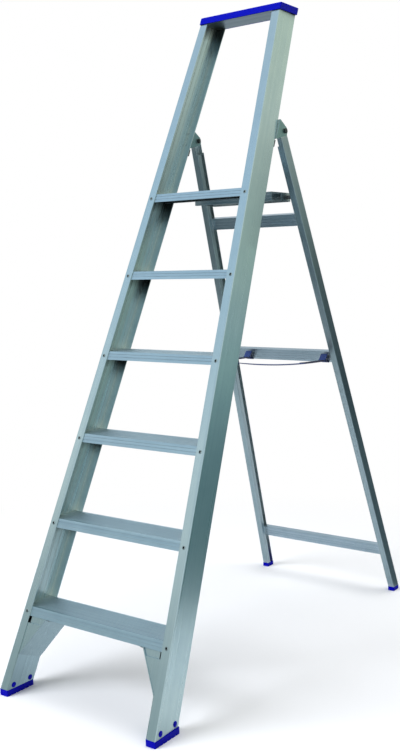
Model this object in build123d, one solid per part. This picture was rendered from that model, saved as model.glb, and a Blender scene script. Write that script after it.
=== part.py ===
from build123d import *
import os
from math import cos, radians, sin, tan

# Aluminium platform stepladder, standing open on the floor
# Millimetres and degrees. Z is up, the treads face -Y, X is across the ladder.
# Right-hand pieces are drawn and the left-hand ones are their mirror images.

# Overall form
STEP_COUNT = 6
STEP_RISE = 235.0
STILE_LEAN = 23.85
LEG_LEAN = 19.65
BASE_WIDTH = 564.0
STILE_TAPER = 0.062
LEG_TAPER = 0.0652
TOP_HEIGHT = 1980.0
CAP_SKIRT = 22.5

# Stiles, inward-facing channels
STILE_DEPTH = 90.0
STILE_FLANGE = 27.5
STILE_WALL = 2.2
STILE_CORNER = 2.5
STILE_LINES = 4
LINE_WIDTH = 3.0
LINE_DEPTH = 0.6

# Treads, whose front and rear aprons lean with the stiles
TREAD_HEIGHT = 24.3
TREAD_TOP = 3.4
TREAD_WALL = 2.2
TREAD_RETURN = 9.0
RIB_PITCH = 6.5
RIB_GROOVE = 2.6
RIB_DEPTH = 1.2
TREAD_MARGIN = 5.0
NOSE_LINES = 2
NOSE_LINE = 1.5

# Fasteners
RIVET_SHANK = 5.0
RIVET_HEAD = 10.0
RIVET_RISE = 2.4
RIVET_DROP = 13.0
RIVET_BEVEL = 1.4
HOLE_OVER = 1.0
FACETS = 8

# Top rail and cap
RAIL_WALL = 2.0
CAP_WALL = 2.6
CAP_GAP = 0.4
CAP_CORNER = 4.0
CAP_EDGE = 2.0

# Front feet
SOLE_HEIGHT = 17.5
SOLE_PROUD = 1.2
SOLE_GROOVE = 4.0
SOLE_GROOVES = 5
TONGUE_TOP = 50.0
FOOT_PIN = 8.0
FOOT_PIN_HEAD = 16.0
FOOT_PIN_RISE = 2.5
FOOT_PIN_BEVEL = 1.5
FOOT_PIN_SPREAD = 28.0
FOOT_PIN_HEIGHT = 29.5

# Foot braces
BRACE_SHEET = 2.5
BRACE_BEND = 125.0
BRACE_LEAN = 28.0
BRACE_EDGE = 1.0
BRACE_TAB = 16.0
BRACE_CUT = 17.0
BRACE_LAP = 12.0
BRACE_TAIL = 30.0
BRACE_NOTCH = 12.0

# Hinges
PIVOT_RISE = 179.0
PIVOT_BEHIND = 35.0
HINGE_BOLT = 8.0
BRACKET_SHEET = 2.5
BRACKET_BELOW = 46.0
BRACKET_ABOVE = 20.0
BRACKET_MARGIN = 13.0
CHEEK_RADIUS = 15.0
CHEEK_EASE = 0.45
HEX_FLATS = 13.0
HEX_HEIGHT = 5.5
BOLT_END = 1.5
WASHER_SIZE = 20.0
BUSH_SIZE = 14.0
PAD_LENGTH = 22.0
PAD_WIDTH = 20.6
PAD_RISE = 8.0

# Rear legs and bars
LEG_WIDTH = 22.5
LEG_DEPTH = 36.0
LEG_WALL = 2.0
LEG_LIP = 17.0
LEG_CORNER = 2.0
HEAD_WIDTH = 16.5
HEAD_CLEAR = 10.0
BAR_FACE = 38.5
BAR_WALL = 2.0
BAR_LINES = 3
UPPER_BAR = 1324.0
MIDDLE_BAR = 875.0
LOWER_BAR = 155.5
REAR_SOLE = 14.0
REAR_SOLE_PROUD = 0.8
REAR_GROOVES = 3
REAR_TONGUE = 34.0

# Platform slat between the rear legs
SLAT_DROP = 2.0
SLAT_GAP = 15.0
SLAT_REACH = 77.0
SLAT_DEPTH = 110.0
SLAT_HEIGHT = 27.5
END_PLATE = 3.0
SLAT_BOLT = 6.0
SLAT_BOLT_HEAD = 10.0
SLAT_BOLT_RISE = 4.0
SPACER_SIZE = 12.0

# Straps
STRAP_WIDTH = 25.0
STRAP_THICK = 1.6
STRAP_STEP_COUNT = 4
STRAP_INSET_RIGHT = 50.0
STRAP_INSET_LEFT = 81.0
STRAP_SAG = 11.5
STRAP_TAB = 20.0
STRAP_EASE = 0.5
STRAP_NOSE = 27.0
STRAP_LIFT = 5.6
STRAP_SLOT = 10.0
ANCHOR_SHEET = 2.0
ANCHOR_HEIGHT = 14.6

# Fits
SEAT = 0.15
RUN = 0.05
HOLE = 0.1

# Directions and the two inclined frames
LEAN = radians(STILE_LEAN)
SPREAD = radians(LEG_LEAN)
ACROSS = Vector(1, 0, 0)
UP = Vector(0, sin(LEAN), cos(LEAN))
BACK = Vector(0, cos(LEAN), -sin(LEAN))
LEG_BACK = Vector(0, cos(SPREAD), sin(SPREAD))
LEG_UP = Vector(0, -sin(SPREAD), cos(SPREAD))

# Fore-and-aft layout, measured from the stiles' front line at the floor and then centred
PIVOT_HEIGHT = STEP_COUNT * STEP_RISE + PIVOT_RISE
PIVOT_DEPTH = STILE_DEPTH + PIVOT_BEHIND
PIVOT_ALONG = (PIVOT_HEIGHT + PIVOT_DEPTH * sin(LEAN)) / cos(LEAN)
PIVOT_REL = PIVOT_ALONG * sin(LEAN) + PIVOT_DEPTH * cos(LEAN)
PIVOT_HALF = BASE_WIDTH / 2 - STILE_TAPER * PIVOT_ALONG
FOOT_FRONT_REL = SOLE_HEIGHT * tan(LEAN) - SOLE_PROUD
LEG_END_REL = PIVOT_REL + (PIVOT_HEIGHT - REAR_SOLE) * tan(SPREAD)
FOOT_REAR_REL = LEG_END_REL + LEG_DEPTH / 2 / cos(SPREAD) + REAR_SOLE_PROUD
FRONT_LINE = -(FOOT_FRONT_REL + FOOT_REAR_REL) / 2

STILE_AXIS = (UP - ACROSS * STILE_TAPER).normalized()
STILE_IN = (-ACROSS - STILE_AXIS * (-ACROSS).dot(STILE_AXIS)).normalized()
STILE_FOOT = Vector(BASE_WIDTH / 2, FRONT_LINE, 0)
STILE_PLANE = Plane(origin=STILE_FOOT, x_dir=STILE_IN, z_dir=STILE_AXIS)
LEG_HEAD = Vector(PIVOT_HALF, FRONT_LINE + PIVOT_REL, PIVOT_HEIGHT)
LEG_AXIS = (Vector(0, sin(SPREAD), -cos(SPREAD)) + ACROSS * LEG_TAPER).normalized()
LEG_IN = (-ACROSS - LEG_AXIS * (-ACROSS).dot(LEG_AXIS)).normalized()
LEG_PLANE = Plane(origin=LEG_HEAD, x_dir=LEG_IN, z_dir=LEG_AXIS)

CAP_BOTTOM = TOP_HEIGHT - CAP_SKIRT
STILE_TOP = TOP_HEIGHT - CAP_WALL - CAP_GAP
TREAD_ROOM = STILE_DEPTH - 2 * STILE_WALL - 2 * SEAT
TREAD_DEPTH = TREAD_ROOM / cos(LEAN)
TREAD_SHIFT = TREAD_HEIGHT * tan(LEAN)
LOWEST_UNDERSIDE = STEP_RISE - TREAD_HEIGHT - SEAT
FAR = 2 * TOP_HEIGHT
LOW = (Align.CENTER, Align.CENTER, Align.MIN)
CORNER = (Align.MIN, Align.MAX)


def stile_spot(along, across=0.0, behind=0.0):
    """Point in the right stile: along it, inward from its outer face, behind its front face."""
    return STILE_FOOT + STILE_AXIS * along + STILE_IN * across + BACK * behind


def stile_at(height, across=0.0, behind=0.0):
    """The same point found by its height above the floor."""
    return stile_spot((height - STILE_IN.Z * across - BACK.Z * behind) / STILE_AXIS.Z, across, behind)


def leg_spot(along, across=0.0, behind=0.0):
    """Point in the right rear leg: down from the pivot, inward, behind its middle plane."""
    return LEG_HEAD + LEG_AXIS * along + LEG_IN * across + LEG_BACK * behind


def leg_at(height, across=0.0, behind=0.0):
    """The same point found by its height above the floor."""
    level = LEG_HEAD.Z + LEG_IN.Z * across + LEG_BACK.Z * behind
    return leg_spot((height - level) / LEG_AXIS.Z, across, behind)


def flip(vector):
    """Mirror a vector from the right side to the left."""
    return Vector(-vector.X, vector.Y, vector.Z)


def left_of(shape):
    """Mirror a right-hand piece to the left."""
    return mirror(shape, about=Plane.YZ)


def keep_inside(shape, origin, normal):
    """Trim a piece on the right by a plane, keeping the side its normal points to."""
    return split(shape, bisect_by=Plane(origin=origin, z_dir=normal), keep=Keep.TOP)


def keep_between(shape, origin, normal):
    """Trim a cross piece by a plane on the right and by its mirror image on the left."""
    return keep_inside(keep_inside(shape, origin, normal), flip(origin), flip(normal))


def keep_heights(shape, low, high):
    """Trim a piece level at two heights."""
    above = split(shape, bisect_by=Plane.XY.offset(low), keep=Keep.TOP)
    return split(above, bisect_by=Plane.XY.offset(high), keep=Keep.BOTTOM)


def rod(spot, direction, size, start, end):
    """Round bar about a spot, from one distance to another along a direction."""
    return Plane(origin=spot, z_dir=direction) * Pos(0, 0, start) * Cylinder(size / 2, end - start, align=LOW)


def stud(spot, direction, size, start, end):
    """Like a round bar, but with a few flat sides: enough for a small fastener or its hole."""
    foot = Plane(origin=spot + direction * start, x_dir=square_to(direction), z_dir=direction)
    return extrude(foot * RegularPolygon(size / 2, FACETS), end - start)


def square_to(direction):
    """A fixed direction square to another one, so that a stud and its hole line up."""
    return direction.cross(ACROSS if abs(direction.X) < 0.5 else Vector(0, 0, 1)).normalized()


def low_head(spot, outward, size, rise, bevel):
    """Low head with a bevelled rim that stands on a surface."""
    head = stud(spot, outward, size, 0, rise)
    return chamfer(head.edges().group_by(Axis(spot, outward))[-1], bevel)


def rivet(spot, outward, grip):
    """Rivet whose head stands on a surface and whose shank goes in by the grip."""
    shank = stud(spot, outward, RIVET_SHANK, -grip, 0)
    return shank + low_head(spot, outward, RIVET_HEAD, RIVET_RISE, RIVET_BEVEL)


def rivet_hole(spot, outward, reach):
    """Clearance hole for a rivet, into the material below the spot."""
    return stud(spot, outward, RIVET_SHANK + 2 * HOLE, -reach, RIVET_RISE)


def side_section(x, y, z):
    """Sketch plane facing +X whose own x runs back and whose own y runs up."""
    return Plane(origin=(x, y, z), x_dir=(0, 1, 0), z_dir=(1, 0, 0))


def slanted(low, high, left, right, lean):
    """Four-sided section between two levels, its sides leaning by an angle about the zero level."""
    slope = tan(radians(lean))
    corners = [(left + low * slope, low), (right + low * slope, low),
               (right + high * slope, high), (left + high * slope, high)]
    return make_face(Polyline(corners, close=True))


def plank_profile(depth, height, lean):
    """Ribbed section open underneath, with two aprons and returned lips, its top front edge at the origin."""
    wall = TREAD_WALL / cos(radians(lean))
    floor = TREAD_WALL - height
    profile = slanted(-height, 0, 0, depth, lean) - slanted(floor, -TREAD_TOP, wall, depth - wall, lean)
    profile -= slanted(-2 * height, floor, wall + TREAD_RETURN, depth - wall - TREAD_RETURN, lean)
    stay_high = (height - TREAD_TOP - TREAD_WALL) / 2
    profile += Pos(depth / 2, -TREAD_TOP) * Rectangle(TREAD_WALL, stay_high, align=(Align.CENTER, Align.MAX))
    count = int((depth - 2 * TREAD_MARGIN) / RIB_PITCH)
    first = depth / 2 - (count - 1) * RIB_PITCH / 2
    for index in range(count):
        profile -= Pos(first + index * RIB_PITCH, 0) * Rectangle(RIB_GROOVE, 2 * RIB_DEPTH)
    for index in range(NOSE_LINES):
        level = -height * (index + 1) / (NOSE_LINES + 1)
        profile -= slanted(level - NOSE_LINE / 2, level + NOSE_LINE / 2, -LINE_DEPTH, LINE_DEPTH, lean)
    return profile


def tread_front(height):
    """Fore-and-aft place of the front edge of the tread whose top is at this height."""
    return stile_at(height, 0, STILE_WALL + SEAT).Y


def tread_under(height):
    """Fore-and-aft limits of a tread's underside, inside its aprons."""
    front = tread_front(height) - TREAD_SHIFT
    wall = TREAD_WALL / cos(LEAN)
    return front + wall, front + TREAD_DEPTH - wall


def rivet_spot(height, behind):
    """Place of a tread's rivet on the front or rear face of the right stile."""
    return stile_at(height - RIVET_DROP, STILE_FLANGE / 2, behind)


def channel_stile():
    """Right stile: channel with its web outside, cut level at the foot and under the cap."""
    shell = Rectangle(STILE_FLANGE, STILE_DEPTH, align=CORNER)
    room = Pos(STILE_WALL, -STILE_WALL) * Rectangle(STILE_FLANGE, STILE_DEPTH - 2 * STILE_WALL, align=CORNER)
    profile = shell - room
    outer = [v for v in profile.vertices() if v.X < STILE_WALL / 2]
    profile = fillet(outer, STILE_CORNER)
    for index in range(STILE_LINES):
        level = -STILE_DEPTH * (index + 1) / (STILE_LINES + 1)
        profile -= Pos(STILE_WALL, level) * Rectangle(2 * LINE_DEPTH, LINE_WIDTH)
    length = (STILE_TOP + STILE_DEPTH) / STILE_AXIS.Z
    return keep_heights(extrude(STILE_PLANE * profile, length), SOLE_HEIGHT, STILE_TOP)


def cross_tread(height):
    """One tread between the webs of the two stiles."""
    plane = side_section(-BASE_WIDTH / 2, tread_front(height), height)
    tread = extrude(plane * plank_profile(TREAD_DEPTH, TREAD_HEIGHT, STILE_LEAN), BASE_WIDTH)
    return keep_between(tread, stile_spot(0, STILE_WALL + SEAT), STILE_IN)


def level_block(half, front, rear, low, high, corner):
    """Block with level faces that leans with the stiles, from one height to another."""
    outline = Rectangle(2 * half, rear - front)
    if corner > 0:
        outline = fillet(outline.vertices(), corner)
    base = Plane(origin=(0, (front + rear) / 2, low)) * outline
    return extrude(base, (high - low) / UP.Z, dir=UP)


def cap_shell():
    """Level plastic cap over both stile ends, leaning with them."""
    half = stile_at(CAP_BOTTOM).X + CAP_GAP
    front = stile_at(CAP_BOTTOM).Y - CAP_GAP / cos(LEAN)
    rear = stile_at(CAP_BOTTOM, 0, STILE_DEPTH).Y + CAP_GAP / cos(LEAN)
    wall = CAP_WALL
    body = level_block(half + wall, front - wall, rear + wall, CAP_BOTTOM, TOP_HEIGHT, CAP_CORNER)
    room = level_block(half, front, rear, CAP_BOTTOM, TOP_HEIGHT - wall, 0)
    body = chamfer(body.edges().group_by(Axis.Z)[-1], CAP_EDGE)
    return body - room


def hoop_rail():
    """Box rail between the stile webs, closed over by the cap."""
    inset = STILE_WALL + SEAT
    front = stile_at(CAP_BOTTOM, 0, inset).Y
    rear = stile_at(CAP_BOTTOM, 0, STILE_DEPTH - inset).Y
    half = BASE_WIDTH / 2
    wall = RAIL_WALL
    body = level_block(half, front, rear, CAP_BOTTOM, STILE_TOP, 0)
    room = level_block(half, front + wall, rear - wall, CAP_BOTTOM + wall, STILE_TOP - wall, 0)
    return keep_between(body - room, stile_spot(0, STILE_WALL + SEAT), STILE_IN)


def foot_pin_spots():
    """Two places on the right stile's outer face where the foot pins pass through."""
    middle = STILE_DEPTH / 2
    return [stile_at(FOOT_PIN_HEIGHT, 0, middle + offset) for offset in (-FOOT_PIN_SPREAD, FOOT_PIN_SPREAD)]


def pin_bores(size, reach):
    """Round bars through the right foot, used for the pins and for their holes."""
    return [stud(spot, STILE_IN, size, -reach, STILE_FLANGE + reach) for spot in foot_pin_spots()]


def front_foot():
    """Right front foot: a level sole with grooves and a tongue inside the channel."""
    outer = stile_at(SOLE_HEIGHT).X + SOLE_PROUD
    inner = stile_at(SOLE_HEIGHT, STILE_FLANGE + BRACE_SHEET + SEAT).X - SOLE_PROUD
    front = stile_at(SOLE_HEIGHT).Y - SOLE_PROUD
    rear = stile_at(SOLE_HEIGHT, 0, STILE_DEPTH).Y + SOLE_PROUD
    outline = Rectangle(outer - inner, rear - front)
    outline = fillet(outline.vertices(), STILE_CORNER + SOLE_PROUD)
    sole = extrude(Plane(origin=((outer + inner) / 2, (front + rear) / 2, 0)) * outline, SOLE_HEIGHT)
    for index in range(SOLE_GROOVES):
        middle = front + (rear - front) * (index + 1) / (SOLE_GROOVES + 1)
        sole -= Pos(0, middle, 0) * Box(BASE_WIDTH * 2, SOLE_GROOVE, SOLE_GROOVE)
    ease = STILE_WALL + SEAT
    section = Pos(ease, -ease) * Rectangle(STILE_FLANGE - ease, STILE_DEPTH - 2 * ease, align=CORNER)
    tongue = extrude(STILE_PLANE * section, STILE_DEPTH * 2)
    return sole + keep_heights(tongue, SOLE_HEIGHT, TONGUE_TOP)


def foot_pins():
    """Two headed plastic pins through the right foot."""
    reach = BRACE_SHEET + SEAT
    pins = []
    for spot in foot_pin_spots():
        shank = stud(spot, STILE_IN, FOOT_PIN, 0, STILE_FLANGE + reach)
        far = spot + STILE_IN * (STILE_FLANGE + reach)
        outer = low_head(spot, -STILE_IN, FOOT_PIN_HEAD, FOOT_PIN_RISE, FOOT_PIN_BEVEL)
        inner = low_head(far, STILE_IN, FOOT_PIN_HEAD, FOOT_PIN_RISE, FOOT_PIN_BEVEL)
        pins.append(shank + outer + inner)
    return pins


# The right foot brace's upper leg and where its outer face meets the lowest tread's underside
BRACE_ANGLE = radians(BRACE_LEAN)
BRACE_RUN = STILE_AXIS * cos(BRACE_ANGLE) + STILE_IN * sin(BRACE_ANGLE)


def brace_meets(y):
    """Point at this depth where the right brace's leaning leg reaches the lowest tread."""
    start = stile_spot(BRACE_BEND, STILE_FLANGE + SEAT)
    rise = LOWEST_UNDERSIDE - start.Z
    reach = y - start.Y
    scale = BACK.Y * BRACE_RUN.Z - BACK.Z * BRACE_RUN.Y
    behind = (reach * BRACE_RUN.Z - rise * BRACE_RUN.Y) / scale
    run = (BACK.Y * rise - BACK.Z * reach) / scale
    return start + BACK * behind + BRACE_RUN * run


def foot_brace():
    """Right foot brace: a channel on the stile's edges, bent inward, with a level tab on top."""
    sheet = BRACE_SHEET
    plane = Plane(origin=stile_spot(0, STILE_FLANGE + SEAT, BRACE_EDGE), x_dir=STILE_IN, z_dir=BACK)
    lean_x = sin(BRACE_ANGLE)
    lean_y = cos(BRACE_ANGLE)
    long = STEP_RISE * 2
    lower = Pos(0, -STILE_DEPTH) * Rectangle(sheet, STILE_DEPTH + BRACE_BEND, align=(Align.MIN, Align.MIN))
    top = (long * lean_x, BRACE_BEND + long * lean_y)
    step = (sheet * lean_y, -sheet * lean_x)
    upper = make_face(Polyline([(0, BRACE_BEND), top, (top[0] + step[0], top[1] + step[1]),
                                (step[0], BRACE_BEND + step[1])], close=True))
    bent = extrude(plane * (lower + upper), STILE_DEPTH - 2 * BRACE_EDGE)
    bent = keep_heights(bent, SOLE_HEIGHT + SEAT, LOWEST_UNDERSIDE)
    tail = BRACE_BEND - BRACE_TAIL
    side = make_face(Polyline([(-BRACE_LAP, tail), (sheet / 2, tail), (sheet / 2, BRACE_BEND),
                               (top[0] + step[0] / 2, top[1]), (-BRACE_LAP, top[1])], close=True))
    inset = STILE_WALL + SEAT - BRACE_EDGE
    for start in (inset, STILE_DEPTH - 2 * BRACE_EDGE - inset - sheet):
        flange = extrude(plane.offset(start) * side, sheet)
        bent += keep_heights(flange, 0, LOWEST_UNDERSIDE - BRACE_CUT)
    # Over the front flange's cut edge, a panel is set back behind the tread's apron
    inward = Pos(BRACE_NOTCH, 0) * Rectangle(FAR, FAR, align=(Align.MIN, Align.CENTER))
    panel = extrude(plane.offset(inset + sheet) * (side & inward), sheet)
    bent += keep_heights(panel, LOWEST_UNDERSIDE - BRACE_CUT - BRACE_LAP, LOWEST_UNDERSIDE - SEAT)
    front_y, rear_y = tread_under(STEP_RISE)
    near = brace_meets(front_y)
    far = brace_meets(rear_y)
    slide = -ACROSS * BRACE_TAB
    outline = Polyline([near, far, far + slide, near + slide], close=True)
    tab = extrude(make_face(outline), sheet, dir=Vector(0, 0, -1))
    return bent + tab


def brace_rivet_spots():
    """Two places under the right brace's tab where rivets hold it to the tread's lips."""
    front_y, rear_y = tread_under(STEP_RISE)
    spots = []
    for y in (front_y + TREAD_RETURN / 2, rear_y - TREAD_RETURN / 2):
        spot = brace_meets(y) - ACROSS * (BRACE_TAB / 2)
        spots.append(Vector(spot.X, y, LOWEST_UNDERSIDE - BRACE_SHEET))
    return spots


# Hinge layout across the ladder, on the right: the leg's head runs between two cheeks
CHEEK_REACH = ((PIVOT_BEHIND ** 2) + (BRACKET_BELOW ** 2)) ** 0.5
CHEEK_OUT = PIVOT_HALF + LEG_TAPER * CHEEK_REACH + CHEEK_EASE
CHEEK_IN = PIVOT_HALF - HEAD_WIDTH - LEG_TAPER * LEG_DEPTH / 2 - CHEEK_EASE
PIVOT = Vector(0, LEG_HEAD.Y, LEG_HEAD.Z)


def hinge_bracket():
    """Right hinge bracket: base on the rear flange and two cheeks that carry the bolt."""
    base_point = PIVOT - BACK * PIVOT_BEHIND
    width = CHEEK_OUT - CHEEK_IN
    sheet = BRACKET_SHEET
    edge = Line((0, -BRACKET_BELOW), (0, BRACKET_ABOVE))
    eye = Pos(PIVOT_BEHIND, 0) * Circle(CHEEK_RADIUS)
    cheek = make_hull(ShapeList([edge.edge()] + list(eye.edges())))
    inner = Plane(origin=base_point + ACROSS * (CHEEK_IN - sheet), x_dir=BACK, z_dir=ACROSS)
    block = extrude(inner * cheek, width + 2 * sheet)
    gap = Plane(origin=base_point + ACROSS * CHEEK_IN, x_dir=BACK, z_dir=ACROSS)
    room = extrude(gap * (Pos(sheet, 0) * Rectangle(FAR, FAR, align=(Align.MIN, Align.CENTER))), width)
    return block - room


def bracket_rivet_spots():
    """Two places on the right bracket's base where rivets hold it to the stile."""
    middle = (CHEEK_IN + CHEEK_OUT) / 2
    base = PIVOT - BACK * (PIVOT_BEHIND - BRACKET_SHEET) + ACROSS * middle
    return [base - UP * (BRACKET_BELOW - BRACKET_MARGIN), base + UP * (BRACKET_ABOVE - BRACKET_MARGIN)]


def hinge_pad():
    """Right black pad on the rear flange, just under the hinge bracket."""
    middle = stile_at(PIVOT_HEIGHT, STILE_FLANGE / 2).X
    base = PIVOT - BACK * PIVOT_BEHIND + ACROSS * middle - UP * (BRACKET_BELOW + SEAT)
    plane = Plane(origin=base, x_dir=ACROSS, z_dir=BACK)
    return plane * Pos(0, PAD_LENGTH / 2, 0) * Box(PAD_WIDTH, PAD_LENGTH, PAD_RISE, align=LOW)


def hex_piece(x, thick):
    """Hexagon on the hinge line, from this place outward along +X."""
    plane = Plane(origin=PIVOT + ACROSS * x, x_dir=BACK, z_dir=ACROSS)
    return extrude(plane * RegularPolygon(HEX_FLATS / 2, 6, major_radius=False), thick)


def hinge_rod(size, start, end):
    """Round bar on the hinge line between two places across the ladder."""
    return rod(PIVOT, ACROSS, size, start, end)


def leg_profile():
    """Rear leg section: a box whose inner side is open over its rear half."""
    middle = (Align.MIN, Align.CENTER)
    shell = fillet(Rectangle(LEG_WIDTH, LEG_DEPTH, align=middle).vertices(), LEG_CORNER)
    wall = LEG_WALL
    room = Pos(wall, 0) * Rectangle(LEG_WIDTH - 2 * wall, LEG_DEPTH - 2 * wall, align=middle)
    slot = Pos(LEG_WIDTH / 2, LEG_LIP - LEG_DEPTH / 2) * Rectangle(
        LEG_WIDTH, LEG_DEPTH - LEG_LIP - wall, align=(Align.MIN, Align.MIN))
    return shell - room - slot


def rear_leg():
    """Right rear leg: rounded and narrowed at the hinge, cut level above the foot."""
    length = (PIVOT_HEIGHT + LEG_DEPTH) / -LEG_AXIS.Z
    start = LEG_PLANE.offset(-LEG_DEPTH)
    leg = extrude(start * leg_profile(), length + LEG_DEPTH)
    side = Plane(origin=PIVOT, x_dir=LEG_BACK, z_dir=ACROSS)
    tail = Rectangle(LEG_DEPTH * 2, FAR, align=(Align.CENTER, Align.MAX))
    leg &= extrude(side * (Circle(LEG_DEPTH / 2) + tail), FAR)
    # With the leg folded, its front face meets the cheek's rising lower edge at this depth
    edge_depth = CHEEK_RADIUS + (BRACKET_BELOW - CHEEK_RADIUS) * LEG_DEPTH / 2 / PIVOT_BEHIND
    notch_long = edge_depth + HEAD_CLEAR
    notch = Pos(HEAD_WIDTH, 0) * Rectangle(LEG_WIDTH, LEG_DEPTH * 2, align=(Align.MIN, Align.CENTER))
    leg -= extrude(start * notch, notch_long + LEG_DEPTH)
    return keep_heights(leg, REAR_SOLE, TOP_HEIGHT) - hinge_rod(HINGE_BOLT + 2 * RUN, 0, FAR)


BAR_FRONT = -LEG_DEPTH / 2 + LEG_LIP + SEAT
BAR_REAR = LEG_DEPTH / 2 - LEG_WALL - SEAT


def bar_section(height):
    """Sketch plane across the leg at a bar's middle: its own x runs back, its own y up the leg."""
    middle = leg_at(height)
    return Plane(origin=(-BASE_WIDTH / 2, middle.Y, middle.Z), x_dir=LEG_BACK, z_dir=ACROSS)


def bar_outline():
    """Outer rectangle of a rear bar in its section plane."""
    return Pos((BAR_FRONT + BAR_REAR) / 2, 0) * Rectangle(BAR_REAR - BAR_FRONT, BAR_FACE)


def rear_bar(height):
    """Rear cross bar: a flat tube whose ends sit inside the legs, with lines along its front."""
    room_deep = BAR_REAR - BAR_FRONT - 2 * BAR_WALL
    room = Pos((BAR_FRONT + BAR_REAR) / 2, 0) * Rectangle(room_deep, BAR_FACE - 2 * BAR_WALL)
    profile = bar_outline() - room
    for index in range(BAR_LINES):
        level = BAR_FACE * (index + 1) / (BAR_LINES + 1) - BAR_FACE / 2
        profile -= Pos(BAR_FRONT, level) * Rectangle(2 * LINE_DEPTH, LINE_WIDTH)
    bar = extrude(bar_section(height) * profile, BASE_WIDTH)
    return keep_between(bar, leg_spot(0, LEG_WALL + SEAT), LEG_IN)


def bar_rivet_spots(height):
    """Two places on the rear face of the right leg where a bar's end is riveted."""
    rise = BAR_FACE / 4
    return [leg_at(height + offset, LEG_WIDTH / 2, LEG_DEPTH / 2) for offset in (-rise, rise)]


def rear_foot():
    """Right rear foot: a level sole and a tongue hidden behind the leg's lip."""
    proud = REAR_SOLE_PROUD
    outer = leg_at(REAR_SOLE).X + proud
    inner = leg_at(REAR_SOLE, LEG_WIDTH).X - proud
    half = LEG_DEPTH / 2 / cos(SPREAD) + proud
    middle = leg_at(REAR_SOLE).Y
    outline = fillet(Rectangle(outer - inner, 2 * half).vertices(), LEG_CORNER + proud)
    sole = extrude(Plane(origin=((outer + inner) / 2, middle, 0)) * outline, REAR_SOLE)
    for index in range(REAR_GROOVES):
        groove = middle - half + 2 * half * (index + 1) / (REAR_GROOVES + 1)
        sole -= Pos(0, groove, 0) * Box(BASE_WIDTH * 2, SOLE_GROOVE, SOLE_GROOVE)
    ease = LEG_WALL + SEAT
    section = Pos(ease, ease - LEG_DEPTH / 2) * Rectangle(
        LEG_WIDTH - 2 * ease, LEG_LIP - ease, align=(Align.MIN, Align.MIN))
    tongue = extrude(LEG_PLANE * section, FAR)
    return sole + keep_heights(tongue, REAR_SOLE, REAR_SOLE + REAR_TONGUE)


SLAT_TOP = STEP_COUNT * STEP_RISE - SLAT_DROP
SLAT_FRONT = leg_at(SLAT_TOP, 0, -LEG_DEPTH / 2).Y - SLAT_REACH
SLAT_HALF = leg_at(SLAT_TOP, LEG_WIDTH).X - SLAT_GAP


def platform_slat():
    """Ribbed slat between the rear legs, the rear half of the standing platform."""
    plane = side_section(-SLAT_HALF, SLAT_FRONT, SLAT_TOP)
    return extrude(plane * plank_profile(SLAT_DEPTH, SLAT_HEIGHT, 0), 2 * SLAT_HALF)


def end_plate():
    """Right plate inside the end of the slat, resting on its lips."""
    ease = TREAD_WALL + SEAT
    deep = SLAT_DEPTH / 2 - ease - TREAD_WALL / 2 - SEAT
    tall = SLAT_HEIGHT - TREAD_TOP - TREAD_WALL - 2 * SEAT
    plane = side_section(SLAT_HALF - END_PLATE, SLAT_FRONT, SLAT_TOP)
    start = SLAT_DEPTH - ease - deep
    return extrude(plane * (Pos(start, -TREAD_TOP - SEAT) * Rectangle(deep, tall, align=CORNER)), END_PLATE)


def slat_bolt_spots():
    """Two places at the right end of the slat where it is bolted to the leg's front half."""
    lip_middle = -LEG_DEPTH / 2 + LEG_LIP / 2
    drop = (SLAT_HEIGHT + TREAD_TOP - TREAD_WALL) / 2
    spot = leg_at(SLAT_TOP - drop, LEG_WIDTH, lip_middle)
    return [Vector(SLAT_HALF, spot.Y, spot.Z)]


def slat_rod(spot, size, start, end):
    """Bar along X at one of the slat's bolts."""
    return stud(Vector(0, spot.Y, spot.Z), ACROSS, size, start, end)


def slat_fixing(spot):
    """Bolt, spacer and nut that fix the right end of the slat to the leg."""
    lip_outer = leg_at(spot.Z, LEG_WIDTH - LEG_WALL, -LEG_DEPTH / 2 + LEG_LIP / 2).X
    tilt = LEG_TAPER * SPACER_SIZE
    head = slat_rod(spot, SLAT_BOLT_HEAD, SLAT_HALF - END_PLATE - SLAT_BOLT_RISE, SLAT_HALF - END_PLATE)
    shank = slat_rod(spot, SLAT_BOLT, SLAT_HALF - END_PLATE, lip_outer + SLAT_BOLT_HEAD)
    spacer = slat_rod(spot, SPACER_SIZE, SLAT_HALF, FAR)
    spacer -= slat_rod(spot, SLAT_BOLT + 2 * HOLE, 0, FAR)
    spacer = split(spacer, bisect_by=Plane(origin=leg_spot(0, LEG_WIDTH + SEAT), z_dir=LEG_IN), keep=Keep.TOP)
    nut = slat_rod(spot, SLAT_BOLT_HEAD, lip_outer + tilt, lip_outer + tilt + SLAT_BOLT_RISE)
    nut -= slat_rod(spot, SLAT_BOLT + 2 * HOLE, 0, FAR)
    return head + shank, spacer, nut


STRAP_LEVEL = STRAP_STEP_COUNT * STEP_RISE
STRAP_LOW = STRAP_LEVEL - TREAD_HEIGHT
STRAP_WALL = stile_at(STRAP_LOW, 0, STILE_DEPTH - STILE_WALL - SEAT)
STRAP_END = stile_at(STRAP_LEVEL, STILE_WALL).X
STRAP_RIGHT = STRAP_END - STRAP_INSET_RIGHT
STRAP_LEFT = STRAP_INSET_LEFT - STRAP_END
STRAP_SLOT_LEVEL = BAR_FACE / 2 - STRAP_SLOT


def strap_plane(start):
    """Sketch plane across the middle bar at this place: its own x runs back, its own y up the leg."""
    middle = bar_section(MIDDLE_BAR).origin
    return Plane(origin=(start, middle.Y, middle.Z), x_dir=LEG_BACK, z_dir=ACROSS)


def strap_slot(x):
    """Slot through the middle bar's front and rear walls, where a strap's loop is threaded."""
    opening = Pos(0, STRAP_SLOT_LEVEL) * Rectangle(2 * LEG_DEPTH, STRAP_THICK + 2 * STRAP_EASE)
    half = STRAP_WIDTH / 2 + STRAP_EASE
    return extrude(strap_plane(x - half) * opening, 2 * half)


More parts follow.
